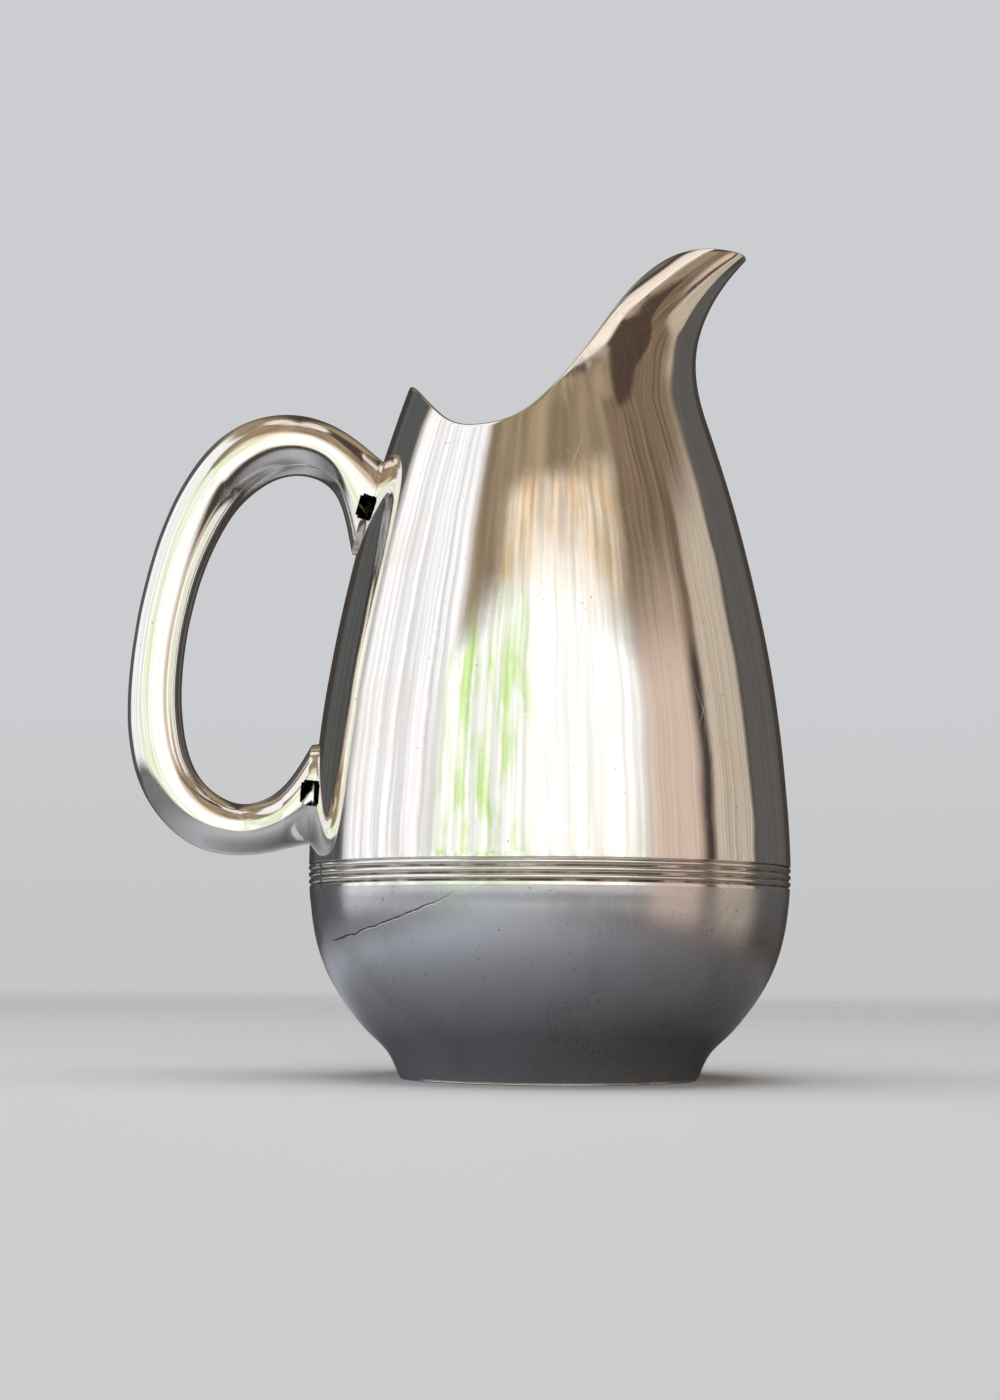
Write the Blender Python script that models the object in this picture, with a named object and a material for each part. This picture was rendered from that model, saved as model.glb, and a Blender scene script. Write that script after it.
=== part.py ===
"""A silver-plated water pitcher: a spun bowl, a raised upper body with its spout, and a hollow handle.

The handle lies towards -X, the spout towards +X, and the pitcher stands on Z = 0.
Lengths are in millimetres here and become metres when a mesh is made.
"""

import math

import bmesh
import bpy
import numpy as np

MM = 0.001

# Sheet and joints
BODY_WALL = 1.1
HANDLE_WALL = 0.9
GAP = 0.3

# Heights of the body's pieces
BASE_LIP_TOP = 0.5
SKIRT_BOTTOM = BASE_LIP_TOP + GAP
BAND_BOTTOM = 51.0
BAND_TOP = 57.65
BODY_JOINT = 54.5
BAND_SEAT_DEPTH = 1.3
LINING_STEP = 2.0  # height over which the inner face steps in behind the band
ROUND_TOP = 112.0  # level rows of the upper body end here, and rise to the rim above it

# Outer profile of the body: height and radius
PROFILE = (
    (0, 40.7),
    (4, 42.4),
    (8, 44.9),
    (12, 49.1),
    (17, 53.5),
    (24, 58.4),
    (34, 63.0),
    (46, 65.45),
    (60, 66.1),
    (80, 65.0),
    (105, 62.2),
    (130, 57.6),
    (155, 51.6),
    (180, 44.0),
    (192, 39.9),
)

# The spout: how it leans forward, narrows and lengthens above the round body
LEAN_START, LEAN_SCALE, LEAN_AT_SCALE, LEAN_POWER = 180.0, 20.0, 3.45, 2.3
NARROW_START, NARROW_EASE, NARROW_RATE = 174.0, 26.0, 0.42
BEAK_START, BEAK_RISE, BEAK_LENGTH, BEAK_POWER = 200.0, 29.0, 6.0, 2.5
BACK_FADE_START, BACK_FADE_LENGTH = 190.0, 16.0

# The rim from the side: distance along X and height
RIM = (
    (-39.6, 191.4),
    (-34.4, 182.8),
    (-29.0, 176.1),
    (-20, 173.2),
    (-10, 175.5),
    (0, 184.4),
    (10, 198.8),
    (20, 215.2),
    (30, 226.3),
    (42, 231.0),
    (55.2, 229.9),
)

# Base plate and standing ring
FLOOR_HEIGHT, FLOOR_CROWN, FLOOR_THICKNESS = 8.6, 1.6, 1.2
BASE_RING_TOP = 3.6
BASE_RING_WIDTH = 2.2
BASE_RING_SOLE_HEIGHT = 1.2
BASE_LIP_INSET = 0.2

# Reeded band: grooves stand a pitch apart, with round reeds between them
REED_PITCH = 1.9
REED_COUNT = 3
REED_HEIGHT = 0.55
GROOVE_WIDTH = 0.3
LAND_INSET, LAND_EASE = 0.2, 0.25  # the flat strip below the reeds, and the chamfer above it
BAND_PROUD = 0.15
BAND_JOINT_ANGLE = math.radians(180 + 22)

# Handle: outer and inner outline, point for point, from the upper joint to the lower one
HANDLE_OUTER = (
    (-47.2, 170.8),
    (-52.8, 175.6),
    (-62.5, 181.6),
    (-76.0, 184.0),
    (-92.5, 177.6),
    (-105.6, 159.2),
    (-113.3, 135.8),
    (-116.9, 113.0),
    (-116.9, 93.8),
    (-110.3, 73.8),
    (-96.0, 61.9),
    (-81.5, 60.4),
    (-72.4, 62.2),
    (-66.4, 63.6),
)
HANDLE_INNER = (
    (-55.6, 144.4),
    (-57.3, 152.6),
    (-61.4, 162.6),
    (-71.5, 166.8),
    (-83.2, 161.9),
    (-91.6, 151.3),
    (-98.6, 133.6),
    (-102.1, 113.0),
    (-102.0, 97.8),
    (-97.6, 82.9),
    (-90.0, 76.0),
    (-82.0, 74.8),
    (-73.6, 79.6),
    (-65.8, 91.3),
)
HANDLE_END_HALF_WIDTH = 8.75
HANDLE_END_SHARE = 0.12  # of the handle's run, over which its width eases to that of its ends
VENT_SIZE = 7.0
VENTS = ((156.4, 2.6), (77.1, 3.1))  # height and depth of each
VENT_OVERREACH = 3.0

# Mesh fineness
BODY_STEPS = 56
BOWL_LEVELS = (3, 5.5, 8, 10, 12, 14.5, 17, 20, 24, 28.5, 34, 40, 46)
FLOOR_RINGS = (0.75, 0.45, 0.15)
SHOULDER_LEVELS = (62, 70, 80, 90, 101)
UPPER_STEPS = 72
UPPER_FRONT_CROWDING = 1.6
RIM_ROWS = 11
RIM_ROW_POWER = 4
RIM_TIP_CROWDING = 1.15
RIM_SAMPLES = 2001
RIM_END_ROUNDS = 40
HANDLE_STATIONS = 36
HANDLE_END_CROWDING = 0.11
HANDLE_ARC_STEPS = 10
LINING_MIN_SLANT = 0.3
REED_ARC_STEPS = 4
PROFILE_STEP = 0.5
NORMAL_STEP = 0.001
SHARP_ANGLE = math.radians(40)

# Finish of each piece: colour and roughness
SILVER = (0.86, 0.84, 0.80)
COOL_SILVER = (0.66, 0.68, 0.72)
FINISH = {
    "bowl": (COOL_SILVER, 0.3),
    "base_plate": (COOL_SILVER, 0.4),
    "base_ring": (SILVER, 0.25),
    "upper_body": (SILVER, 0.08),
    "reeded_band": (SILVER, 0.2),
    "handle_right_shell": (SILVER, 0.1),
    "handle_left_shell": (SILVER, 0.1),
}


def natural_spline(knots):
    """A smooth curve through (x, y) knots, as a function that takes numbers or arrays."""
    x, y = np.array(knots, float).T
    gaps = np.diff(x)
    count = len(x)
    system = np.eye(count)
    right = np.zeros(count)
    for i in range(1, count - 1):
        before, after = gaps[i - 1], gaps[i]
        system[i, i - 1 : i + 2] = before, 2 * (before + after), after
        right[i] = 6 * ((y[i + 1] - y[i]) / after - (y[i] - y[i - 1]) / before)
    bend = np.linalg.solve(system, right)

    def curve(at):
        at = np.asarray(at, float)
        i = np.clip(np.searchsorted(x, at) - 1, 0, count - 2)
        a = (x[i + 1] - at) / gaps[i]
        b = (at - x[i]) / gaps[i]
        straight = a * y[i] + b * y[i + 1]
        return straight + ((a**3 - a) * bend[i] + (b**3 - b) * bend[i + 1]) * gaps[i] ** 2 / 6

    return curve


def smooth_step(u):
    u = np.clip(u, 0, 1)
    return u * u * (3 - 2 * u)


def eased_ramp(at, start, ease):
    """Zero before start, then a slope that eases up to one and stays there."""
    u = np.clip((at - start) / ease, 0, 1)
    return ease * (u**3 - u**4 / 2) + np.maximum(at - start - ease, 0)


profile_curve = natural_spline(PROFILE)
rim_curve = natural_spline(RIM)
PROFILE_TOP = PROFILE[-1][0]
PROFILE_TOP_SLOPE = float(profile_curve(PROFILE_TOP) - profile_curve(PROFILE_TOP - 0.1)) / 0.1


def body_radius(z):
    """Radius of the round body, which runs on straight above its last knot."""
    z = np.asarray(z, float)
    return profile_curve(np.minimum(z, PROFILE_TOP)) + PROFILE_TOP_SLOPE * np.maximum(z - PROFILE_TOP, 0)


def section(z):
    """The level section at height z: its centre's X, front and back half length, and half width."""
    z = np.asarray(z, float)
    radius = body_radius(z)
    lean = LEAN_AT_SCALE * np.maximum((z - LEAN_START) / LEAN_SCALE, 0) ** LEAN_POWER
    half_width = radius - NARROW_RATE * eased_ramp(z, NARROW_START, NARROW_EASE)
    beak = BEAK_LENGTH * np.maximum((z - BEAK_START) / BEAK_RISE, 0) ** BEAK_POWER
    front = half_width + beak
    centre = radius + lean - front
    fade = 1 - smooth_step((z - BACK_FADE_START) / BACK_FADE_LENGTH)
    back = front + (centre + radius - front) * fade
    return centre, front, back, half_width


def body_point(angle, z):
    """A point of the body's outer surface. Angle 0 is at the spout, and pi at the handle."""
    centre, front, back, half_width = section(z)
    c = np.cos(angle)
    along = (front + back) / 2 + (front - back) / 2 * c
    return np.stack([centre + along * c, half_width * np.sin(angle), z + 0 * c], axis=-1)


def body_normal(angle, z):
    """The outward direction at a point of the body's outer surface."""
    around = body_point(angle + NORMAL_STEP, z) - body_point(angle - NORMAL_STEP, z)
    up = body_point(angle, z + NORMAL_STEP) - body_point(angle, z - NORMAL_STEP)
    normal = np.cross(around, up)
    return normal / np.linalg.norm(normal, axis=-1)[..., None]


def angle_at(x, z):
    """The angle, from 0 to pi, at which the section at height z passes through x."""
    centre, front, back, _ = section(z)
    mean = (front + back) / 2
    change = (front - back) / 2
    root = np.sqrt(np.maximum(mean**2 + 4 * change * (x - centre), 0))
    return np.arccos(np.clip(2 * (x - centre) / (mean + root), -1, 1))


def rim_points(count):
    """Angle and height of count points along the rim, from the lip's tip to the back."""
    tip_x, back_x = RIM[-1][0], RIM[0][0]
    for _ in range(RIM_END_ROUNDS):
        centre, front, _, _ = section(rim_curve(tip_x))
        tip_x = centre + front
        centre, _, back, _ = section(rim_curve(back_x))
        back_x = centre - back
    turn = np.linspace(0, math.pi, RIM_SAMPLES)
    x = (tip_x + back_x) / 2 + (tip_x - back_x) / 2 * np.cos(turn)
    z = rim_curve(x)
    points = body_point(angle_at(x, z), z)
    run = np.concatenate([[0], np.cumsum(np.linalg.norm(np.diff(points, axis=0), axis=1))])
    share = np.linspace(0, 1, count) ** RIM_TIP_CROWDING
    x_at = np.interp(share * run[-1], run, x)
    z_at = rim_curve(x_at)
    return angle_at(x_at, z_at), z_at


def new_material(piece_name):
    color, roughness = FINISH[piece_name]
    material = bpy.data.materials.new(piece_name + "_silver")
    material.use_nodes = True
    shader = material.node_tree.nodes["Principled BSDF"]
    shader.inputs["Base Color"].default_value = (*color, 1)
    shader.inputs["Metallic"].default_value = 1
    shader.inputs["Roughness"].default_value = roughness
    return material


def add_piece(name, points, faces, parent):
    """One closed, smooth-shaded mesh object, with its faces turned outward."""
    mesh = bpy.data.meshes.new(name)
    mesh.from_pydata((np.asarray(points) * MM).tolist(), [], faces)
    work = bmesh.new()
    work.from_mesh(mesh)
    bmesh.ops.recalc_face_normals(work, faces=work.faces)
    work.to_mesh(mesh)
    work.free()
    mesh.shade_smooth()
    mesh.set_sharp_from_angle(angle=SHARP_ANGLE)
    mesh.materials.append(new_material(name))
    piece = bpy.data.objects.new(name, mesh)
    piece.parent = parent
    bpy.context.collection.objects.link(piece)
    return piece


def quads(rows, columns, first, closed_rows, closed_columns):
    """Faces of a grid of rows by columns points whose first point has the given number."""
    faces = []
    for r in range(rows if closed_rows else rows - 1):
        for c in range(columns if closed_columns else columns - 1):
            up, on = (r + 1) % rows, (c + 1) % columns
            faces.append([first + i * columns + j for i, j in ((r, c), (r, on), (up, on), (up, c))])
    return faces


def turned(outline, steps, start=0.0, sweep=2 * math.pi):
    """Points and faces of a closed (radius, height) outline turned about the body's axis."""
    whole = sweep >= 2 * math.pi
    angles = start + sweep * np.arange(steps + (not whole)) / steps
    radius, height = np.array(outline, float).T
    grid = np.stack(
        [
            np.outer(np.cos(angles), radius),
            np.outer(np.sin(angles), radius),
            np.outer(np.ones(len(angles)), height),
        ],
        axis=-1,
    )
    faces = quads(len(angles), len(radius), 0, whole, True)
    if not whole:
        last = (len(angles) - 1) * len(radius)
        faces += [list(range(len(radius))), [last + i for i in range(len(radius))]]
    return grid.reshape(-1, 3), faces


def inside(outline, thickness):
    """An open (radius, height) outline moved towards the axis by the wall's thickness."""
    points = np.array(outline, float)
    along = np.gradient(points, axis=0)
    along /= np.linalg.norm(along, axis=1)[:, None]
    normal = np.stack([along[:, 1], -along[:, 0]], axis=1)
    return points - normal * thickness


def wall_inside_radius(z):
    """Radius of the bowl's inner face at height z."""
    heights = np.arange(SKIRT_BOTTOM, BAND_BOTTOM, PROFILE_STEP)
    inner = inside(np.stack([body_radius(heights), heights], axis=1), BODY_WALL)
    return float(np.interp(z, inner[:, 1], inner[:, 0]))


def add_bowl(parent):
    heights = (SKIRT_BOTTOM, *BOWL_LEVELS, BAND_BOTTOM - GAP)
    outer = np.stack([body_radius(heights), heights], axis=1)
    inner = inside(outer, BODY_WALL)
    inner[0, 1] = SKIRT_BOTTOM
    seat = outer[-1, 0] - BAND_SEAT_DEPTH
    neck = ((seat, BAND_BOTTOM - GAP), (seat, BODY_JOINT - GAP / 2))
    bore = seat - BODY_WALL
    neck_inside = ((bore, BODY_JOINT - GAP / 2), (bore, BAND_BOTTOM - LINING_STEP))
    outline = [*outer, *neck, *neck_inside, *inner[-2::-1]]
    return add_piece("bowl", *turned(outline, BODY_STEPS), parent)


def add_base_plate(parent):
    edge_bottom = (wall_inside_radius(FLOOR_HEIGHT) - GAP, FLOOR_HEIGHT)
    top = FLOOR_HEIGHT + FLOOR_THICKNESS
    edge_top = (wall_inside_radius(top) - GAP, top)
    radii = np.array(FLOOR_RINGS) * edge_bottom[0]
    crown = FLOOR_CROWN * (1 - (radii / edge_bottom[0]) ** 2)
    bottom = np.stack([radii, FLOOR_HEIGHT + crown], axis=1)
    outline = [edge_bottom, edge_top, *(bottom + (0, FLOOR_THICKNESS)), *bottom[::-1]]
    points, faces = turned(outline, BODY_STEPS)
    per_turn = len(outline)
    hub_top, hub_bottom = 2 + len(radii) - 1, 2 + len(radii)
    hole = [f for f in faces if {i % per_turn for i in f} == {hub_top, hub_bottom}]
    faces = [f for f in faces if f not in hole]
    for ring in (hub_top, hub_bottom):
        faces.append([turn * per_turn + ring for turn in range(BODY_STEPS)])
    return add_piece("base_plate", points, faces, parent)


def add_base_ring(parent):
    lip = float(body_radius(0)) - BASE_LIP_INSET
    leg_low = wall_inside_radius(SKIRT_BOTTOM) - GAP
    leg_high = wall_inside_radius(BASE_RING_TOP) - GAP
    bore = leg_low - BASE_RING_WIDTH
    outline = [
        (bore, 0),
        (lip, 0),
        (lip, BASE_LIP_TOP),
        (leg_low, BASE_LIP_TOP),
        (leg_high, BASE_RING_TOP),
        (leg_high - BODY_WALL, BASE_RING_TOP),
        (bore, BASE_RING_SOLE_HEIGHT),
    ]
    return add_piece("base_ring", *turned(outline, BODY_STEPS), parent)


def add_reeded_band(parent):
    def face(z):
        return float(body_radius(z)) + BAND_PROUD

    outline = []
    reed_width = REED_PITCH - GROOVE_WIDTH
    top = BAND_TOP
    for _ in range(REED_COUNT):
        for step in range(REED_ARC_STEPS + 1):
            share = step / REED_ARC_STEPS
            rise = REED_HEIGHT * math.sin(math.pi * share)
            outline.append((face(top) - REED_HEIGHT + rise, top - reed_width * share))
        top -= REED_PITCH
    outline += [(face(top) - REED_HEIGHT, top), (face(top) - LAND_INSET, top - LAND_EASE)]
    outline += [(face(BAND_BOTTOM) - LAND_INSET, BAND_BOTTOM)]
    seat = float(body_radius(BAND_BOTTOM - GAP)) - BAND_SEAT_DEPTH + GAP
    outline += [(seat, BAND_BOTTOM), (seat, BAND_TOP)]
    slit = GAP / seat
    turn = turned(outline, BODY_STEPS, BAND_JOINT_ANGLE + slit / 2, 2 * math.pi - slit)
    return add_piece("reeded_band", *turn, parent)


def body_grid():
    """The upper body's outer and inner surface, one row for each level from the shoulder to the rim.

    The columns crowd towards the spout, and turn to their places on the rim only near the top,
    because the rim climbs so steeply there that columns of even angle would cross it.
    """
    half = UPPER_STEPS // 2
    start_angle = math.pi * np.linspace(0, 1, half + 1) ** UPPER_FRONT_CROWDING
    rim_angle, rim_height = rim_points(half + 1)
    places = [(start_angle, np.full(half + 1, z)) for z in (BAND_TOP + GAP, *SHOULDER_LEVELS)]
    for share in np.linspace(0, 1, RIM_ROWS):
        angle = start_angle + (rim_angle - start_angle) * share**RIM_ROW_POWER
        places.append((angle, ROUND_TOP + (rim_height - ROUND_TOP) * share))
    outer = np.array([body_point(*place) for place in places])
    inner = outer - BODY_WALL * np.array([body_normal(*place) for place in places])
    return [np.concatenate([near, near[:, -2:0:-1] * (1, -1, 1)], axis=1) for near in (outer, inner)]


def add_upper_body(parent):
    outer, inner = body_grid()
    seat = float(body_radius(BAND_BOTTOM - GAP)) - BAND_SEAT_DEPTH
    ring = outer[0] / np.linalg.norm(outer[0, :, :2], axis=1)[:, None] * (1, 1, 0)

    def level(radius, height):
        return ring * radius + (0, 0, height)

    shoulder = BAND_TOP + GAP
    edge = BODY_JOINT + GAP / 2
    outside = [level(seat, edge), level(seat, shoulder), *outer]
    bore = seat - BODY_WALL
    within = [level(bore, edge), level(bore, shoulder + LINING_STEP), *inner[1:]]
    loop = np.array([*outside, *within[::-1]])
    faces = quads(*loop.shape[:2], 0, True, True)
    return add_piece("upper_body", loop.reshape(-1, 3), faces, parent)


def handle_outline(points, at):
    """Smooth outline through paired points, read at shares of the way from joint to joint."""
    points = np.array(points, float)
    middle = (np.array(HANDLE_OUTER) + np.array(HANDLE_INNER)) / 2
    run = np.concatenate([[0], np.cumsum(np.linalg.norm(np.diff(middle, axis=0), axis=1))])
    run /= run[-1]
    return np.stack([natural_spline(np.stack([run, points[:, k]], axis=1))(at) for k in (0, 1)], axis=1)


def handle_sections():
    """Stations along the handle, closer together at the flared ends, as outer and inner points."""
    even = np.linspace(0, 1, HANDLE_STATIONS + 1)
    at = even - HANDLE_END_CROWDING * np.sin(2 * math.pi * even)
    return at, handle_outline(HANDLE_OUTER, at), handle_outline(HANDLE_INNER, at)


def handle_surface(inset):
    """Half of the handle's outer skin, or with an inset the face inside it, on the -Y side."""
    at, outer, inner = handle_sections()
    across = outer - inner
    thickness = np.linalg.norm(across, axis=1)
    across /= thickness[:, None]
    ends = 1 - smooth_step(np.minimum(at, 1 - at) / HANDLE_END_SHARE)
    half_width = thickness / 2 * (1 - ends) + HANDLE_END_HALF_WIDTH * ends
    half_width = np.minimum(half_width, HANDLE_END_HALF_WIDTH)
    edges = []
    for line in (outer, inner):
        along = np.gradient(line, axis=0)
        along /= np.linalg.norm(along, axis=1)[:, None]
        slant = np.abs(across[:, 0] * along[:, 1] - across[:, 1] * along[:, 0])
        edges.append(inset / np.maximum(slant, LINING_MIN_SLANT))
    outer = outer - across * edges[0][:, None]
    inner = inner + across * edges[1][:, None]
    centre = (outer + inner) / 2
    reach = (outer - inner) / 2
    turn = np.linspace(0, math.pi, HANDLE_ARC_STEPS + 1)
    side = -GAP / 2 - np.outer(half_width - GAP / 2 - inset, np.sin(turn))
    plane = centre[:, None] + reach[:, None] * np.cos(turn)[None, :, None]
    grid = np.stack([plane[..., 0], side, plane[..., 1]], axis=-1)
    for end in (0, -1):
        wall = body_radius(grid[end, :, 2]) + GAP
        grid[end, :, 0] = -np.sqrt(wall**2 - grid[end, :, 1] ** 2)
    return grid


def add_cutter(name, centre, size, tilt, parent):
    """A box that is taken out of the handle's shells and isn't part of the pitcher."""
    mesh = bpy.data.meshes.new(name)
    work = bmesh.new()
    bmesh.ops.create_cube(work, size=1)
    bmesh.ops.scale(work, vec=[s * MM for s in size], verts=work.verts)
    work.to_mesh(mesh)
    work.free()
    cutter = bpy.data.objects.new(name, mesh)
    cutter.parent = parent
    cutter.location = [c * MM for c in centre]
    cutter.rotation_euler = (0, tilt, 0)
    cutter.hide_render = True
    cutter.display_type = "WIRE"
    bpy.context.collection.objects.link(cutter)
    return cutter


def add_vent_cutters(parent):
    """The vents are square notches in the handle's right half, open towards the body's wall."""
    cutters = []
    for number, (height, depth) in enumerate(VENTS):
        low, high = (float(body_radius(height + d)) for d in (-1, 1))
        tilt = math.atan2(low - high, 2)
        reach = depth + VENT_OVERREACH
        middle = -float(body_radius(height)) - depth + reach / 2
        size = (reach, 3 * HANDLE_END_HALF_WIDTH, VENT_SIZE)
        cutters.append(add_cutter(f"vent_cutter_{number}", (middle, 0, height), size, tilt, parent))
    return cutters


def add_handle_shell(name, side, cutters, parent):
    skin = handle_surface(0.0) * (1, -side, 1)
    lining = handle_surface(HANDLE_WALL) * (1, -side, 1)
    loop = np.concatenate([skin, lining[:, ::-1]], axis=1)
    stations, around = loop.shape[:2]
    faces = quads(stations, around, 0, False, True)
    arc = HANDLE_ARC_STEPS + 1
    for end in (0, stations - 1):
        for i in range(arc - 1):
            corners = (i, i + 1, around - 2 - i, around - 1 - i)
            faces.append([end * around + c for c in corners])
    shell = add_piece(name, loop.reshape(-1, 3), faces, parent)
    for cutter in cutters:
        cut = shell.modifiers.new(cutter.name, "BOOLEAN")
        cut.operation = "DIFFERENCE"
        cut.solver = "EXACT"
        cut.object = cutter
    return shell


def centre_on_origin(pieces, root):
    """Stands the pitcher with the middle of its box over the origin."""
    ends = [v.co.x for piece in pieces for v in piece.data.vertices]
    root.location.x = -(min(ends) + max(ends)) / 2


def build():
    for thing in list(bpy.data.objects):
        bpy.data.objects.remove(thing, do_unlink=True)
    root = bpy.data.objects.new("pitcher_root", None)
    bpy.context.collection.objects.link(root)
    makers = (add_bowl, add_base_plate, add_base_ring, add_upper_body, add_reeded_band)
    pieces = [make(root) for make in makers]
    cutters = add_vent_cutters(root)
    pieces.append(add_handle_shell("handle_right_shell", -1, cutters, root))
    pieces.append(add_handle_shell("handle_left_shell", 1, (), root))
    centre_on_origin(pieces, root)


build()
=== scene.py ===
# The looks of a silver-plated water pitcher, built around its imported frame.
# Shapes are worked out in millimetres about the body's axis, with the handle towards -X and the
# spout towards +X, and become metres in the frame's own place when a mesh is made.

import math

import bmesh
import bpy
import numpy as np
from mathutils import Matrix, Vector


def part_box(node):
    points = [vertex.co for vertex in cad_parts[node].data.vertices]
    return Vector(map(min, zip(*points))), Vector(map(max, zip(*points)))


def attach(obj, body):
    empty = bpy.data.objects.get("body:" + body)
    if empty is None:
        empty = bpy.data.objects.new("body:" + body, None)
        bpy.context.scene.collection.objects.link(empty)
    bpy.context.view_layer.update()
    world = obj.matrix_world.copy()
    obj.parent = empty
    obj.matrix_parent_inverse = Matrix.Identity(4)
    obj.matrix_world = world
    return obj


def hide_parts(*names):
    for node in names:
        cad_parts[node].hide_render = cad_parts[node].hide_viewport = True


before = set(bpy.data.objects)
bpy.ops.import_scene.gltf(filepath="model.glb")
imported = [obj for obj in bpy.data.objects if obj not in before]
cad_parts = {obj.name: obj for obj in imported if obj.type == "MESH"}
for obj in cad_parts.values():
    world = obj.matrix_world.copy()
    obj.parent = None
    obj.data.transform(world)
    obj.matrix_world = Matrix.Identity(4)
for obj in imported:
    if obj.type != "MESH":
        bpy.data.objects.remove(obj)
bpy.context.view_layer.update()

MM = 0.001
ring_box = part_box("base_ring")
AXIS = (ring_box[0] + ring_box[1]) / 2 * Vector((1, 1, 0))

# Sheet and joints
BODY_WALL = 1.1
HANDLE_WALL = 0.9
EDGE_ROUND = 0.25

# Heights of the body's pieces
SKIRT_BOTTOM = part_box("bowl")[0].z / MM
BODY_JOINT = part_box("bowl")[1].z / MM
BAND_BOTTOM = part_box("reeded_band")[0].z / MM
BAND_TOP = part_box("reeded_band")[1].z / MM
SHOULDER_GAP = 0.12
SHOULDER = BAND_TOP + SHOULDER_GAP
BAND_SEAT_DEPTH = 1.3
LINING_STEP = 2.0
ROUND_TOP = 112.0

# Outer profile of the body: height and radius
PROFILE = (
    (0, 40.7),
    (4, 42.4),
    (8, 44.9),
    (12, 49.1),
    (17, 53.5),
    (24, 58.4),
    (34, 63.0),
    (46, 65.45),
    (60, 66.1),
    (80, 65.0),
    (105, 62.2),
    (130, 57.6),
    (155, 51.6),
    (180, 44.0),
    (192, 39.9),
)

# The spout: how it leans forward, narrows and lengthens above the round body
LEAN_START, LEAN_SCALE, LEAN_AT_SCALE, LEAN_POWER = 180.0, 20.0, 3.45, 2.3
NARROW_START, NARROW_EASE, NARROW_RATE = 174.0, 26.0, 0.42
BEAK_START, BEAK_RISE, BEAK_LENGTH, BEAK_POWER = 200.0, 29.0, 6.0, 2.5
BACK_FADE_START, BACK_FADE_LENGTH = 190.0, 16.0

# The rim from the side: distance along X and height
RIM = (
    (-39.6, 191.4),
    (-34.4, 182.8),
    (-29.0, 176.1),
    (-20, 173.2),
    (-10, 175.5),
    (0, 184.4),
    (10, 198.8),
    (20, 215.2),
    (30, 226.3),
    (42, 231.0),
    (55.2, 229.9),
)

# Base plate and standing ring
FLOOR_HEIGHT, FLOOR_CROWN, FLOOR_THICKNESS = 8.6, 1.6, 1.2
BASE_LIP_TOP = 0.5
BASE_RING_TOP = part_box("base_ring")[1].z / MM
BASE_RING_WIDTH = 2.2
BASE_LIP_INSET = 0.2

# Reeded band: grooves stand a pitch apart, with round reeds between them
REED_PITCH = 1.9
REED_COUNT = 3
REED_HEIGHT, REED_FULLNESS = 0.6, 0.7
GROOVE_WIDTH = 0.3
BAND_PROUD = 0.07
BAND_JOINT_ANGLE = math.radians(180 + 22)
BAND_SLIT = 0.16
SOLDER_HALF_ANGLE = 0.022

# Handle: outer and inner outline, point for point, from the upper joint to the lower one
HANDLE_OUTER = (
    (-47.2, 170.8),
    (-52.8, 175.6),
    (-62.5, 181.6),
    (-76.0, 184.0),
    (-92.5, 177.6),
    (-105.6, 159.2),
    (-113.3, 135.8),
    (-116.9, 113.0),
    (-116.9, 93.8),
    (-110.3, 73.8),
    (-96.0, 61.9),
    (-81.5, 60.4),
    (-72.4, 62.2),
    (-66.4, 63.6),
)
HANDLE_INNER = (
    (-55.6, 144.4),
    (-57.3, 152.6),
    (-61.4, 162.6),
    (-71.5, 166.8),
    (-83.2, 161.9),
    (-91.6, 151.3),
    (-98.6, 133.6),
    (-102.1, 113.0),
    (-102.0, 97.8),
    (-97.6, 82.9),
    (-90.0, 76.0),
    (-82.0, 74.8),
    (-73.6, 79.6),
    (-65.8, 91.3),
)
HANDLE_END_HALF_WIDTH = 8.75
HANDLE_END_SHARE = 0.12
HANDLE_SEAM = 0.04
HANDLE_DRAW_IN = 0.02
HANDLE_SINK = 0.12
VENT_SIZE = 7.0
VENTS = ((156.4, 2.6), (77.1, 3.1))
VENT_OVERREACH = 3.0
VENT_CORNER, VENT_CORNER_STEPS = 0.7, 4
VENT_CUTTER_WIDTH = 3 * HANDLE_END_HALF_WIDTH

# A crease in the bowl: from one angle to the other it climbs, slowly at first, and fades at both ends
# The crease's dark colour is a painted reflection; its dent is a bump.
CREASE_FROM, CREASE_TO = math.radians(-157), math.radians(-110)
CREASE_BOTTOM, CREASE_RISE, CREASE_BEND = 36.4, 12.8, 1.7
CREASE_HALF_WIDTH, CREASE_DEPTH = 0.42, 0.05
CREASE_WANDER, CREASE_FINENESS = 1.4, 0.3
CREASE_FADES = (0.0, 0.12), (1.0, 0.75)

# Fineness of the meshes
TURN_STEPS = 256
BAND_STEPS = 384
PLATE_RINGS = 40
UPPER_STEPS = 288
UPPER_FRONT_CROWDING = 1.6
SHOULDER_ROWS = 34
LINING_FIRST_ROW = 3
RIM_ROWS = 96
RIM_ROW_POWER = 4
RIM_TIP_CROWDING = 1.15
RIM_SAMPLES = 4001
RIM_END_ROUNDS = 40
ROUND_STEPS = 6
HANDLE_STATIONS = 260
HANDLE_EVEN_STATIONS = 20
HANDLE_ARC_STEPS = 44
HANDLE_END_CROWDING = 0.11
REED_ARC_STEPS = 12
LEVEL_STEP = 1.0
NORMAL_STEP = 0.001
LINING_MIN_SLANT = 0.3
SHARP_ANGLE = math.radians(38)

# Slow unevenness that hand finishing leaves in the sheet: height, turns round the body, turns per metre of
# height, and phase
UNEVEN = (
    (0.030, 3, 9, 0.4),
    (0.022, 5, 17, 2.1),
    (0.014, 9, 31, 4.4),
    (0.008, 14, 47, 1.3),
)

# How much closer these waves stand in the handle's sheet, along X, Y and Z
HANDLE_WAVE_SCALE = (2, 3, 2)


# ---------------------------------------------------------------- curves and the body's surface


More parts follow.
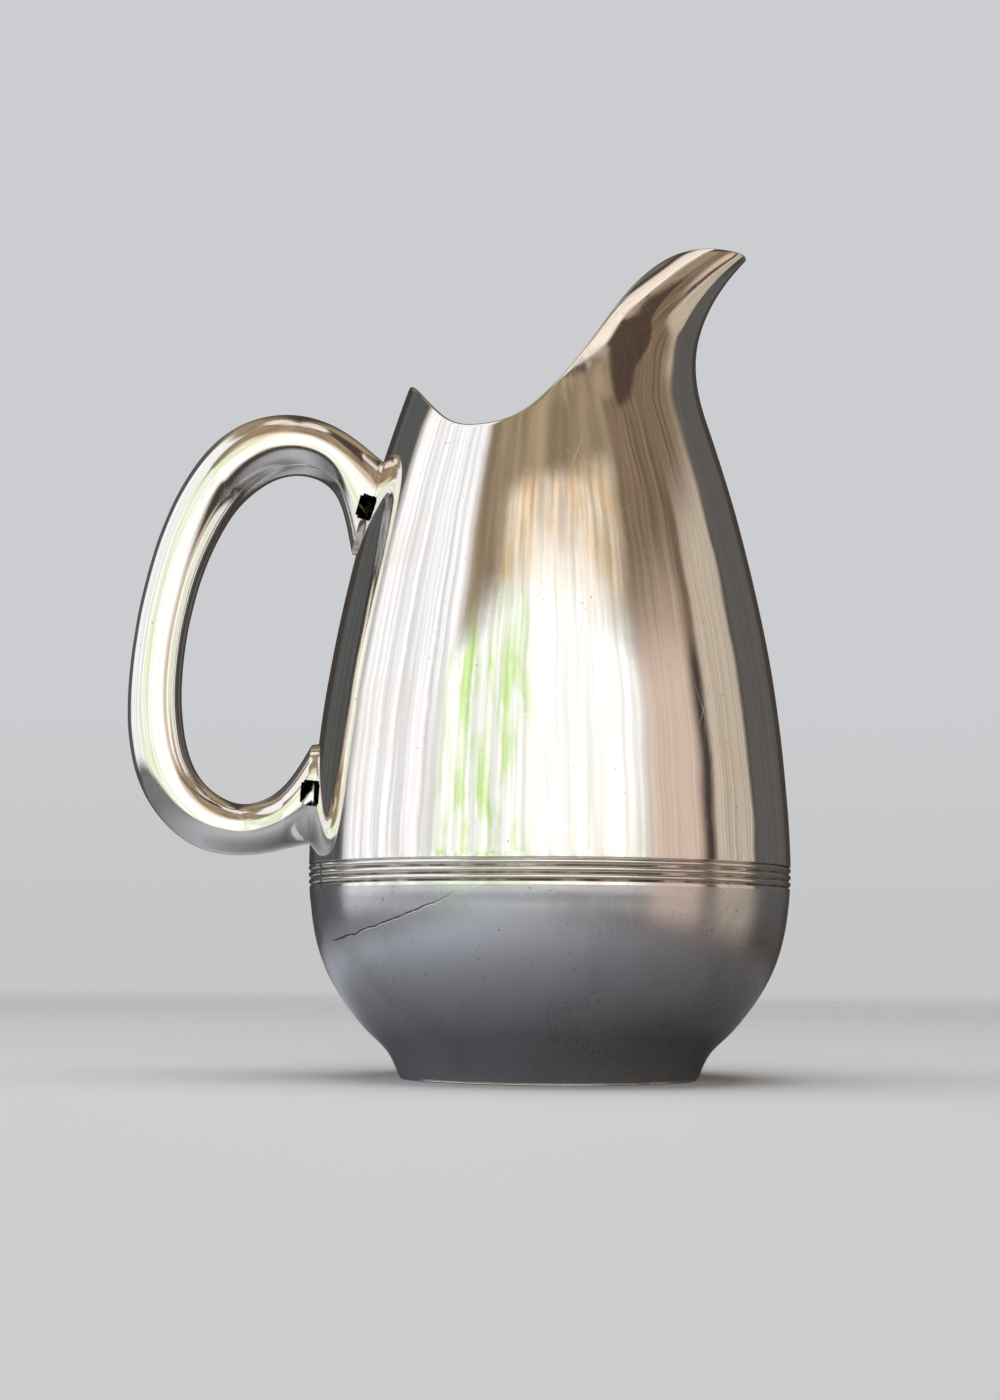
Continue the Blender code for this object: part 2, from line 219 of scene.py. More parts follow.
def natural_spline(knots):
    """A smooth curve through (x, y) knots, as a function that takes numbers or arrays."""
    x, y = np.array(knots, float).T
    gaps = np.diff(x)
    count = len(x)
    system = np.eye(count)
    right = np.zeros(count)
    for i in range(1, count - 1):
        before, after = gaps[i - 1], gaps[i]
        system[i, i - 1 : i + 2] = before, 2 * (before + after), after
        right[i] = 6 * ((y[i + 1] - y[i]) / after - (y[i] - y[i - 1]) / before)
    bend = np.linalg.solve(system, right)

    def curve(at):
        at = np.asarray(at, float)
        i = np.clip(np.searchsorted(x, at) - 1, 0, count - 2)
        a = (x[i + 1] - at) / gaps[i]
        b = (at - x[i]) / gaps[i]
        straight = a * y[i] + b * y[i + 1]
        return straight + ((a**3 - a) * bend[i] + (b**3 - b) * bend[i + 1]) * gaps[i] ** 2 / 6

    return curve


def smooth_step(u):
    u = np.clip(u, 0, 1)
    return u * u * (3 - 2 * u)


def eased_ramp(at, start, ease):
    """Zero before start, then a slope that eases up to one and stays there."""
    u = np.clip((at - start) / ease, 0, 1)
    return ease * (u**3 - u**4 / 2) + np.maximum(at - start - ease, 0)


profile_curve = natural_spline(PROFILE)
rim_curve = natural_spline(RIM)
PROFILE_TOP = PROFILE[-1][0]
PROFILE_TOP_SLOPE = float(profile_curve(PROFILE_TOP) - profile_curve(PROFILE_TOP - 0.1)) / 0.1


def body_radius(z):
    """Radius of the round body, which runs on straight above its last knot."""
    z = np.asarray(z, float)
    return profile_curve(np.minimum(z, PROFILE_TOP)) + PROFILE_TOP_SLOPE * np.maximum(z - PROFILE_TOP, 0)


def section(z):
    """The level section at height z: its centre's X, front and back half length, and half width."""
    z = np.asarray(z, float)
    radius = body_radius(z)
    lean = LEAN_AT_SCALE * np.maximum((z - LEAN_START) / LEAN_SCALE, 0) ** LEAN_POWER
    half_width = radius - NARROW_RATE * eased_ramp(z, NARROW_START, NARROW_EASE)
    beak = BEAK_LENGTH * np.maximum((z - BEAK_START) / BEAK_RISE, 0) ** BEAK_POWER
    front = half_width + beak
    centre = radius + lean - front
    fade = 1 - smooth_step((z - BACK_FADE_START) / BACK_FADE_LENGTH)
    back = front + (centre + radius - front) * fade
    return centre, front, back, half_width


def body_point(angle, z):
    """A point of the body's outer surface. Angle 0 is at the spout, and pi at the handle."""
    centre, front, back, half_width = section(z)
    c = np.cos(angle)
    along = (front + back) / 2 + (front - back) / 2 * c
    return np.stack([centre + along * c, half_width * np.sin(angle), z + 0 * c], axis=-1)


def body_normal(angle, z):
    """The outward direction at a point of the body's outer surface."""
    around = body_point(angle + NORMAL_STEP, z) - body_point(angle - NORMAL_STEP, z)
    up = body_point(angle, z + NORMAL_STEP) - body_point(angle, z - NORMAL_STEP)
    normal = np.cross(around, up)
    return normal / np.linalg.norm(normal, axis=-1)[..., None]


def angle_at(x, z):
    """The angle, from 0 to pi, at which the section at height z passes through x."""
    centre, front, back, _ = section(z)
    mean = (front + back) / 2
    change = (front - back) / 2
    root = np.sqrt(np.maximum(mean**2 + 4 * change * (x - centre), 0))
    return np.arccos(np.clip(2 * (x - centre) / (mean + root), -1, 1))


def trim_height(x):
    """Height at which the sheet ends and its rounded edge begins, half a wall below the rim."""
    slope = (rim_curve(x + NORMAL_STEP) - rim_curve(x - NORMAL_STEP)) / (2 * NORMAL_STEP)
    return rim_curve(x) - BODY_WALL / 2 * np.sqrt(1 + slope**2)


def rim_points(count):
    """Angle and height of count points along the trimmed rim, from the lip's tip to the back."""
    tip_x, back_x = RIM[-1][0], RIM[0][0]
    for _ in range(RIM_END_ROUNDS):
        centre, front, _, _ = section(trim_height(tip_x))
        tip_x = centre + front
        centre, _, back, _ = section(trim_height(back_x))
        back_x = centre - back
    turn = np.linspace(0, math.pi, RIM_SAMPLES)
    x = (tip_x + back_x) / 2 + (tip_x - back_x) / 2 * np.cos(turn)
    z = trim_height(x)
    points = body_point(angle_at(x, z), z)
    run = np.concatenate([[0], np.cumsum(np.linalg.norm(np.diff(points, axis=0), axis=1))])
    share = np.linspace(0, 1, count) ** RIM_TIP_CROWDING
    x_at = np.interp(share * run[-1], run, x)
    z_at = trim_height(x_at)
    return angle_at(x_at, z_at), z_at


def unevenness(points):
    """How far the sheet lies inside its true face at each point: a distance below zero from long waves."""
    turn = np.arctan2(points[..., 1], points[..., 0])
    height = points[..., 2] * MM * 2 * math.pi
    waves = [size * np.sin(n * turn + k * height + phase) for size, n, k, phase in UNEVEN]
    return np.sum(waves, axis=0) - sum(wave[0] for wave in UNEVEN)


# ---------------------------------------------------------------- mesh making


def add_piece(name, points, faces, material, slot, node):
    """One smooth-shaded mesh piece that stands for a node of the frame and rides on its body."""
    mesh = bpy.data.meshes.new(name)
    places = np.asarray(points) * MM + np.array(AXIS)
    mesh.from_pydata(places.tolist(), [], faces)
    work = bmesh.new()
    work.from_mesh(mesh)
    bmesh.ops.recalc_face_normals(work, faces=work.faces)
    work.to_mesh(mesh)
    work.free()
    mesh.shade_smooth()
    mesh.set_sharp_from_angle(angle=SHARP_ANGLE)
    mesh.materials.append(material)
    piece = bpy.data.objects.new(name, mesh)
    bpy.context.scene.collection.objects.link(piece)
    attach(piece, "root")
    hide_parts(node)
    return piece


def quads(rows, columns, closed_rows, closed_columns):
    """Faces of a grid of rows by columns points."""
    faces = []
    for r in range(rows if closed_rows else rows - 1):
        for c in range(columns if closed_columns else columns - 1):
            up, on = (r + 1) % rows, (c + 1) % columns
            faces.append([i * columns + j for i, j in ((r, c), (r, on), (up, on), (up, c))])
    return faces


def turned(outline, steps, start=0.0, sweep=2 * math.pi):
    """Points and faces of a closed (radius, height) outline turned about the body's axis."""
    whole = sweep >= 2 * math.pi
    angles = start + sweep * np.arange(steps + (not whole)) / steps
    radius, height = np.array(outline, float).T
    across = [np.outer(np.cos(angles), radius), np.outer(np.sin(angles), radius)]
    grid = np.stack([*across, np.outer(np.ones(len(angles)), height)], axis=-1)
    faces = quads(len(angles), len(radius), whole, True)
    if not whole:
        last = (len(angles) - 1) * len(radius)
        faces += [list(range(len(radius))), [last + i for i in range(len(radius))]]
    return grid.reshape(-1, 3), faces


def inside(outline, thickness):
    """An open (radius, height) outline moved towards the axis by the wall's thickness."""
    points = np.array(outline, float)
    along = np.gradient(points, axis=0)
    along /= np.linalg.norm(along, axis=1)[:, None]
    normal = np.stack([along[:, 1], -along[:, 0]], axis=1)
    return points - normal * thickness


def corner(centre, size, start, stop, steps=ROUND_STEPS):
    """Points of a small arc, for an edge of an outline; angles in degrees from outward to up."""
    turn = np.radians(np.linspace(start, stop, steps + 1))
    return [(centre[0] + size * math.cos(t), centre[1] + size * math.sin(t)) for t in turn]


def wall_inside_radius(z):
    """Radius of the bowl's inner face at height z."""
    heights = np.arange(SKIRT_BOTTOM, BAND_BOTTOM, LEVEL_STEP / 2)
    inner = inside(np.stack([body_radius(heights), heights], axis=1), BODY_WALL)
    return float(np.interp(z, inner[:, 1], inner[:, 0]))


def push_uneven(points, outward, low, high):
    """Moves points along their outward directions by the unevenness, which fades in between two heights."""
    fade = smooth_step((points[..., 2] - low) / (high - low))
    return points + outward * (unevenness(points) * fade)[..., None]


# ---------------------------------------------------------------- pieces


def make_bowl(material):
    heights = np.append(np.arange(SKIRT_BOTTOM + EDGE_ROUND, BAND_BOTTOM, LEVEL_STEP), BAND_BOTTOM)
    outer = np.stack([body_radius(heights), heights], axis=1)
    inner = inside(outer, BODY_WALL)
    foot = corner((outer[0, 0] - EDGE_ROUND, outer[0, 1]), EDGE_ROUND, -90, 0)[:-1]
    sole = [(inner[0, 0], SKIRT_BOTTOM)]
    seat = float(body_radius(BAND_BOTTOM)) - BAND_SEAT_DEPTH
    bore = seat - BODY_WALL
    neck = [(seat, BAND_BOTTOM), (seat, BODY_JOINT), (bore, BODY_JOINT), (bore, BAND_BOTTOM - LINING_STEP)]
    lining = [p for p in inner[::-1] if SKIRT_BOTTOM + LEVEL_STEP < p[1] < BAND_BOTTOM - 2 * LINING_STEP]
    outline = [*foot, *outer, *neck, *lining, *sole]
    points, faces = turned(outline, TURN_STEPS)
    outward = points * (1, 1, 0) / np.linalg.norm(points[:, :2], axis=1)[:, None]
    low, high = SKIRT_BOTTOM, SKIRT_BOTTOM + LINING_STEP
    even_top = 1 - smooth_step((points[:, 2] - BAND_BOTTOM + 2 * LINING_STEP) / LINING_STEP)
    points += (push_uneven(points, outward, low, high) - points) * even_top[:, None]
    return add_piece("bowl_shell", points, faces, material, "bowl_silver", "bowl")


def make_base_plate(material):
    top = FLOOR_HEIGHT + FLOOR_THICKNESS
    radii = wall_inside_radius(FLOOR_HEIGHT) * np.linspace(1, 0, PLATE_RINGS + 1)[:-1]
    crown = FLOOR_CROWN * (1 - (radii / radii[0]) ** 2)
    bottom = np.stack([radii, FLOOR_HEIGHT + crown], axis=1)
    outline = [(wall_inside_radius(top), top), *(bottom[1:] + (0, FLOOR_THICKNESS)), *bottom[::-1]]
    points, faces = turned(outline, TURN_STEPS)
    per_turn = len(outline)
    hub_top = len(radii) - 1
    hub = {hub_top, hub_top + 1}
    faces = [f for f in faces if {i % per_turn for i in f} != hub]
    for ring in sorted(hub):
        faces.append([turn * per_turn + ring for turn in range(TURN_STEPS)])
    return add_piece("base_plate_disc", points, faces, material, "base_silver", "base_plate")


def make_base_ring(material):
    lip = float(body_radius(0)) - BASE_LIP_INSET
    half = BASE_LIP_TOP / 2
    leg_low = wall_inside_radius(SKIRT_BOTTOM)
    leg_high = wall_inside_radius(BASE_RING_TOP)
    bore = leg_low - BASE_RING_WIDTH
    outline = [
        *corner((bore + half, half), half, 180, 270),
        *corner((lip - half, half), half, -90, 90),
        (leg_low, BASE_LIP_TOP),
        (leg_low, SKIRT_BOTTOM),
        (leg_high, BASE_RING_TOP),
        (leg_high - BODY_WALL, BASE_RING_TOP),
    ]
    points = turned(outline, TURN_STEPS)
    return add_piece("standing_ring", *points, material, "ring_silver", "base_ring")


def make_reeded_band(material):
    def face(z):
        return float(body_radius(z)) + BAND_PROUD

    outline = []
    reed_width = REED_PITCH - GROOVE_WIDTH
    top = BAND_TOP
    for _ in range(REED_COUNT):
        for step in range(REED_ARC_STEPS + 1):
            share = step / REED_ARC_STEPS
            rise = REED_HEIGHT * math.sin(math.pi * share) ** REED_FULLNESS
            outline.append((face(top) - REED_HEIGHT + rise, top - reed_width * share))
        top -= REED_PITCH
    outline.append((face(top) - REED_HEIGHT, top))
    land = face(BAND_BOTTOM) - BAND_PROUD
    outline += corner((land - EDGE_ROUND, top - EDGE_ROUND), EDGE_ROUND, 90, 0)
    seat = float(body_radius(BAND_BOTTOM)) - BAND_SEAT_DEPTH
    outline += [(land, BAND_BOTTOM), (seat, BAND_BOTTOM), (seat, BAND_TOP)]
    slit = BAND_SLIT / seat
    turn = turned(outline, BAND_STEPS, BAND_JOINT_ANGLE + slit / 2, 2 * math.pi - slit)
    return add_piece("reeded_strip", *turn, material, "band_silver", "reeded_band")


def upper_sheet():
    """The upper body's outer surface and outward directions, one row for each level from shoulder to rim."""
    half = UPPER_STEPS // 2
    start_angle = math.pi * np.linspace(0, 1, half + 1) ** UPPER_FRONT_CROWDING
    rim_angle, rim_height = rim_points(half + 1)
    levels = np.linspace(SHOULDER + EDGE_ROUND, ROUND_TOP, SHOULDER_ROWS)[:-1]
    places = [(start_angle, np.full(half + 1, z)) for z in levels]
    for share in np.linspace(0, 1, RIM_ROWS):
        angle = start_angle + (rim_angle - start_angle) * share**RIM_ROW_POWER
        places.append((angle, ROUND_TOP + (rim_height - ROUND_TOP) * share))
    near = [np.array([make(*place) for place in places]) for make in (body_point, body_normal)]
    return [np.concatenate([side, side[:, -2:0:-1] * (1, -1, 1)], axis=1) for side in near]


def rounded_rim(outer, inner):
    """Rows of points that close the sheet's two faces with a round edge."""
    middle, half = (outer + inner) / 2, (outer - inner) / 2
    along = np.roll(middle, -1, axis=0) - np.roll(middle, 1, axis=0)
    up = np.cross(half, along)
    up *= np.linalg.norm(half, axis=1)[:, None] / np.linalg.norm(up, axis=1)[:, None]
    up *= np.sign(np.sum(up[:, 2]))
    turns = np.linspace(0, math.pi, ROUND_STEPS + 3)[1:-1]
    return [middle + half * math.cos(t) + up * math.sin(t) for t in turns]


def make_upper_body(material):
    outer, outward = upper_sheet()
    outer = push_uneven(outer, outward, SHOULDER, SHOULDER + 3 * LINING_STEP)
    inner = outer - outward * BODY_WALL
    ring = outer[0] / np.linalg.norm(outer[0, :, :2], axis=1)[:, None] * (1, 1, 0)
    seat = float(body_radius(BAND_BOTTOM)) - BAND_SEAT_DEPTH
    bore = seat - BODY_WALL
    edge_radius = float(body_radius(SHOULDER)) - EDGE_ROUND
    edge = corner((edge_radius, SHOULDER + EDGE_ROUND), EDGE_ROUND, -90, 0)[:-1]

    def level(radius, height):
        return ring * radius + (0, 0, height)

    outside = [level(seat, BODY_JOINT), level(seat, SHOULDER), *(level(*p) for p in edge), *outer]
    lining = [level(bore, BODY_JOINT), level(bore, SHOULDER + LINING_STEP), *inner[LINING_FIRST_ROW:]]
    rim = rounded_rim(outer[-1], inner[-1])
    loop = np.array([*outside, *rim, *lining[::-1]])
    faces = quads(*loop.shape[:2], True, True)
    return add_piece("upper_shell", loop.reshape(-1, 3), faces, material, "body_silver", "upper_body")


def handle_outline(points, at):
    """Smooth outline through paired points, read at shares of the way from joint to joint."""
    points = np.array(points, float)
    middle = (np.array(HANDLE_OUTER) + np.array(HANDLE_INNER)) / 2
    run = np.concatenate([[0], np.cumsum(np.linalg.norm(np.diff(middle, axis=0), axis=1))])
    run /= run[-1]
    return np.stack([natural_spline(np.stack([run, points[:, k]], axis=1))(at) for k in (0, 1)], axis=1)


def handle_surface(inset):
    """Half of the handle's outer skin, or with an inset the face inside it, on the -Y side."""
    even = np.linspace(0, 1, HANDLE_STATIONS + 1)
    at = even - HANDLE_END_CROWDING * np.sin(2 * math.pi * even)
    outer, inner = handle_outline(HANDLE_OUTER, at), handle_outline(HANDLE_INNER, at)
    across = outer - inner
    thickness = np.linalg.norm(across, axis=1)
    across /= thickness[:, None]
    ends = 1 - smooth_step(np.minimum(at, 1 - at) / HANDLE_END_SHARE)
    half_width = thickness / 2 * (1 - ends) + HANDLE_END_HALF_WIDTH * ends
    half_width = np.minimum(half_width, HANDLE_END_HALF_WIDTH)
    insets = []
    for line in (outer, inner):
        along = np.gradient(line, axis=0)
        along /= np.linalg.norm(along, axis=1)[:, None]
        slant = np.abs(across[:, 0] * along[:, 1] - across[:, 1] * along[:, 0])
        insets.append(inset / np.maximum(slant, LINING_MIN_SLANT))
    outer = outer - across * insets[0][:, None]
    inner = inner + across * insets[1][:, None]
    centre, reach = (outer + inner) / 2, (outer - inner) / 2
    turn = np.linspace(0, math.pi, HANDLE_ARC_STEPS + 1)
    side = -HANDLE_SEAM - np.outer(half_width - HANDLE_SEAM - inset, np.sin(turn))
    plane = centre[:, None] + reach[:, None] * np.cos(turn)[None, :, None]
    grid = np.stack([plane[..., 0], side, plane[..., 1]], axis=-1)
    for end in (0, -1):
        wall = body_radius(grid[end, :, 2]) - HANDLE_SINK
        grid[end, :, 0] = -np.sqrt(wall**2 - grid[end, :, 1] ** 2)
    return grid


def vent_cutters():
    """Boxes with rounded edges that cut the square vents into the handle's right half."""
    cutters = []
    for height, depth in VENTS:
        low, high = (float(body_radius(height + d)) for d in (-1, 1))
        reach = depth + VENT_OVERREACH
        size = (reach, VENT_CUTTER_WIDTH, VENT_SIZE)
        middle = (-float(body_radius(height)) - depth + reach / 2, 0, height)
        work = bmesh.new()
        bmesh.ops.create_cube(work, size=1)
        bmesh.ops.scale(work, vec=[s * MM for s in size], verts=work.verts)
        lengthwise = [e for e in work.edges if abs(e.verts[0].co.y - e.verts[1].co.y) > MM]
        rounding = {"offset": VENT_CORNER * MM, "segments": VENT_CORNER_STEPS}
        bmesh.ops.bevel(work, geom=lengthwise, affect="EDGES", **rounding)
        mesh = bpy.data.meshes.new("vent_cutter")
        work.to_mesh(mesh)
        work.free()
        turn = Matrix.Rotation(math.atan2(low - high, 2), 4, "Y")
        mesh.transform(Matrix.Translation(Vector(middle) * MM + AXIS) @ turn)
        cutters.append(bpy.data.objects.new("vent_cutter", mesh))
        bpy.context.scene.collection.objects.link(cutters[-1])
    return cutters


def cut(piece, cutters):
    """Takes the cutters out of a piece for good, and shades the result again."""
    for cutter in cutters:
        taking = piece.modifiers.new("vent", "BOOLEAN")
        taking.operation = "DIFFERENCE"
        taking.solver = "EXACT"
        taking.object = cutter
    evaluated = piece.evaluated_get(bpy.context.evaluated_depsgraph_get())
    whole = piece.data
    piece.data = bpy.data.meshes.new_from_object(evaluated)
    piece.data.name = piece.name
    piece.modifiers.clear()
    bpy.data.meshes.remove(whole)
    piece.data.set_sharp_from_angle(angle=SHARP_ANGLE)


def make_handle_shell(name, node, side, cutters, material):
    skin = handle_surface(0.0) * (1, -side, 1)
    lining = handle_surface(HANDLE_WALL) * (1, -side, 1)
    outward = skin - lining
    outward /= np.linalg.norm(outward, axis=2)[..., None]
    station = np.arange(HANDLE_STATIONS + 1)
    clear_of_ends = np.minimum(station, HANDLE_STATIONS - station) / HANDLE_EVEN_STATIONS
    waves = unevenness(skin * HANDLE_WAVE_SCALE)
    amount = (waves - HANDLE_DRAW_IN) * smooth_step(clear_of_ends)[:, None]
    skin = skin + outward * amount[..., None] * (1, 0, 1)
    loop = np.concatenate([skin, lining[:, ::-1]], axis=1)
    stations, around = loop.shape[:2]
    faces = quads(stations, around, False, True)
    for end in (0, stations - 1):
        for i in range(HANDLE_ARC_STEPS):
            corners = (i, i + 1, around - 2 - i, around - 1 - i)
            faces.append([end * around + c for c in corners])
    shell = add_piece(name, loop.reshape(-1, 3), faces, material, "handle_silver", node)
    cut(shell, cutters)
    return shell


# ---------------------------------------------------------------- materials


# Colours of silver plate and of what dulls it; the darkest is also a painted reflection along the bowl's
# crease
BRIGHT = (0.93, 0.915, 0.885, 1)
COOL = (0.74, 0.75, 0.78, 1)
WARM_FILM = (0.80, 0.70, 0.54, 1)
DULL_FILM_AND_PAINTED_SHADE = (0.50, 0.49, 0.50, 1)
DARK_TARNISH_AND_PAINTED_REFLECTION = (0.20, 0.145, 0.10, 1)

# Finish of each material: colour of the plate, colour and share of its film, roughness, how much that varies,
# roughness added by scratches, and how readily pits appear
FINISHES = {
    "silver_body": (BRIGHT, WARM_FILM, 0.35, 0.048, 0.04, 0.14, 0.225),
    # The bowl's cooler tone and grey film are partly tarnish and partly painted shade, on the same silver as
    # the body.
    "silver_bowl": (COOL, DULL_FILM_AND_PAINTED_SHADE, 0.65, 0.22, 0.22, 0.08, 0.26),
    "silver_base": (COOL, WARM_FILM, 0.70, 0.30, 0.15, 0.25, 0.30),
    "silver_ring": (BRIGHT, WARM_FILM, 0.40, 0.16, 0.08, 0.25, 0.26),
    "silver_band": (BRIGHT, WARM_FILM, 0.5, 0.10, 0.06, 0.25, 0.24),
    "silver_handle": (BRIGHT, WARM_FILM, 0.40, 0.09, 0.05, 0.14, 0.225),
}
WRAP_RADIUS, BAND_WRAP_RADIUS = 60.0, 65.0
LEAST_ROUGHNESS = 0.03

# Patterns in the plate. A noise is its fineness per millimetre, detail, roughness and distortion, a range is
# where a pattern begins and is full, and depths are in millimetres
FILM_NOISE, FILM_PATCHES, FILM_HAZE = (0.028, 4.0, 0.62, 0.6), (0.46, 0.78), 0.12
SMEAR_NOISE = (0.06, 5.0, 0.6)
RIPPLE_NOISE, RIPPLE_DEPTH = (0.10, 2.0, 0.5, 0.4), 0.022
PIT_FINENESS, PIT_EDGE, PIT_DIRT, PIT_HAZE, PIT_DEPTH = 1.15, 0.03, 0.75, 0.3, 0.02
MARK_NOISE, MARK_RANGE, MARK_SHARE = (0.42, 4.0, 0.65), (0.64, 0.72), 0.45
MARK_PATCH_FINENESS, MARK_PATCHES = 0.035, (0.48, 0.60)
GROOVE_DARK_RANGE, GROOVE_DARKNESS, GROOVE_HAZE = (0.72, 1.02), 0.92, 0.35
GROOVE_PATCH_FINENESS, GROOVE_PATCHES = 0.12, (0.25, 0.6)

# Scratches: directions in degrees, lines per millimetre, length, and how readily they appear
SCRATCHES, SCRATCH_DEPTH = ((38, 66, -41, 98, -74), 2.2, 60.0, 0.29), 0.0015
FINE_SCRATCHES, FINE_SCRATCH_DEPTH = ((-52, 47, 84), 6.0, 16.0, 0.31), 0.0008
SCRATCH_OFFSET, SCRATCH_EDGE = (17.0, 29.0, 0.0), 0.05
SCRATCH_PATCH_FINENESS, SCRATCH_PATCHES = 0.045, (0.42, 0.62)


class Shade:
    """Builds one material's nodes in short steps. Patterns are in millimetres about the body's axis."""

    def __init__(self, name):
        self.material = bpy.data.materials.new(name)
        self.material.use_nodes = True
        self.tree = self.material.node_tree
        self.shader = self.tree.nodes["Principled BSDF"]
        place = self.node("ShaderNodeTexCoord").outputs["Object"]
        centred = self.vector("SUBTRACT", place, tuple(AXIS))
        self.place = self.vector("SCALE", centred, scale=1 / MM)
        axes = self.node("ShaderNodeSeparateXYZ", {"Vector": self.place})
        self.x, self.y, self.z = (axes.outputs[k] for k in "XYZ")

    def put(self, socket, value):
        if isinstance(value, bpy.types.NodeSocket):
            self.tree.links.new(value, socket)
        else:
            socket.default_value = value

    def node(self, kind, inputs=None, **settings):
        node = self.tree.nodes.new(kind)
        for key, value in settings.items():
            setattr(node, key, value)
        for key, value in (inputs or {}).items():
            self.put(node.inputs[key], value)
        return node

    def math(self, operation, *values):
        node = self.node("ShaderNodeMath", operation=operation)
        for i, value in enumerate(values):
            self.put(node.inputs[i], value)
        return node.outputs[0]

    def vector(self, operation, first, second=None, scale=None):
        node = self.node("ShaderNodeVectorMath", {0: first}, operation=operation)
        if second is not None:
            self.put(node.inputs[1], second)
        if scale is not None:
            self.put(node.inputs["Scale"], scale)
        return node.outputs[0]

    def ramp(self, value, low, high):
        """Zero below low, one above high, and smooth between."""
        inputs = {"Value": value, "From Min": low, "From Max": high}
        return self.node("ShaderNodeMapRange", inputs, interpolation_type="SMOOTHSTEP").outputs[0]

    def noise(self, where, scale, detail=2.0, roughness=0.5, distortion=0.0):
        inputs = {"Vector": where, "Scale": scale, "Detail": detail, "Roughness": roughness}
        inputs["Distortion"] = distortion
        return self.node("ShaderNodeTexNoise", inputs).outputs[0]

    def mix(self, share, first, second):
        """A colour between two, by a share from nought to one."""
        node = self.node("ShaderNodeMix", data_type="RGBA")
        for index, value in ((0, share), (6, first), (7, second)):
            self.put(node.inputs[index], value)
        return node.outputs[2]

    def wrapped(self, radius):
        """Distance round the axis and height, so that a pattern lies on a turned surface."""
        turn = self.math("ARCTAN2", self.y, self.x)
        inputs = {"X": self.math("MULTIPLY", turn, radius), "Y": self.z}
        return self.node("ShaderNodeCombineXYZ", inputs).outputs[0]

    def hairlines(self, where, directions, fineness, length, amount):
        """Thin broken scratches in a few directions, from stretched noise, in patches."""
        total = None
        for i, degrees in enumerate(directions):
            inputs = {"Vector": where, "Rotation": (0, 0, math.radians(degrees))}
            inputs["Location"] = [i * step for step in SCRATCH_OFFSET]
            inputs["Scale"] = (length, 1 / fineness, 1)
            run = self.node("ShaderNodeMapping", inputs, vector_type="TEXTURE").outputs[0]
            line = self.ramp(self.noise(run, 1.0, 1.0), 1 - amount, 1 - amount + SCRATCH_EDGE)
            total = line if total is None else self.math("MAXIMUM", total, line)
        patches = self.ramp(self.noise(self.place, SCRATCH_PATCH_FINENESS, 1.0), *SCRATCH_PATCHES)
        return self.math("MULTIPLY", total, patches)

    def relief(self, height, depth_mm, normal=None):
        """Bumps of a pattern that runs from nought to one, with a true depth."""
        inputs = {"Height": height, "Distance": depth_mm * MM, "Strength": 1.0}
        if normal is not None:
            inputs["Normal"] = normal
        return self.node("ShaderNodeBump", inputs).outputs[0]


def silver(name, around=None):
    """Polished plate with a thin film of tarnish, smears, hairline scratches and small pits."""
    tone, film_tone, film, roughness, haze, wear, pits = FINISHES[name]
    shade = Shade(name)
    where = shade.wrapped(around) if around else shade.place
    film_mask = shade.ramp(shade.noise(shade.place, *FILM_NOISE), *FILM_PATCHES)
    film_share = shade.math("MULTIPLY", film_mask, film)
    lines = shade.hairlines(where, *SCRATCHES)
    fine_lines = shade.hairlines(where, *FINE_SCRATCHES)
    speck = shade.noise(shade.place, PIT_FINENESS, 1.0)
    pit = shade.ramp(speck, 1 - pits, 1 - pits + PIT_EDGE)
    color = shade.mix(film_share, tone, film_tone)
    darkening = shade.math("MULTIPLY", pit, PIT_DIRT)
    shade.put(shade.shader.inputs["Base Color"], shade.mix(darkening, color, DARK_TARNISH_AND_PAINTED_REFLECTION))
    smear = shade.noise(shade.place, *SMEAR_NOISE)
    rough = shade.math("MULTIPLY_ADD", smear, haze, roughness - haze / 2)
    for pattern, added in ((lines, wear), (fine_lines, wear / 2), (film_share, FILM_HAZE), (pit, PIT_HAZE)):
        rough = shade.math("MULTIPLY_ADD", pattern, added, rough)
    shade.put(shade.shader.inputs["Roughness"], shade.math("MAXIMUM", rough, LEAST_ROUGHNESS))
    relief = shade.relief(shade.noise(shade.place, *RIPPLE_NOISE), RIPPLE_DEPTH)
    for pattern, depth in ((lines, SCRATCH_DEPTH), (fine_lines, FINE_SCRATCH_DEPTH), (pit, PIT_DEPTH)):
        relief = shade.relief(pattern, -depth, relief)
    shade.put(shade.shader.inputs["Normal"], relief)
    shade.shader.inputs["Metallic"].default_value = 1.0
    return shade


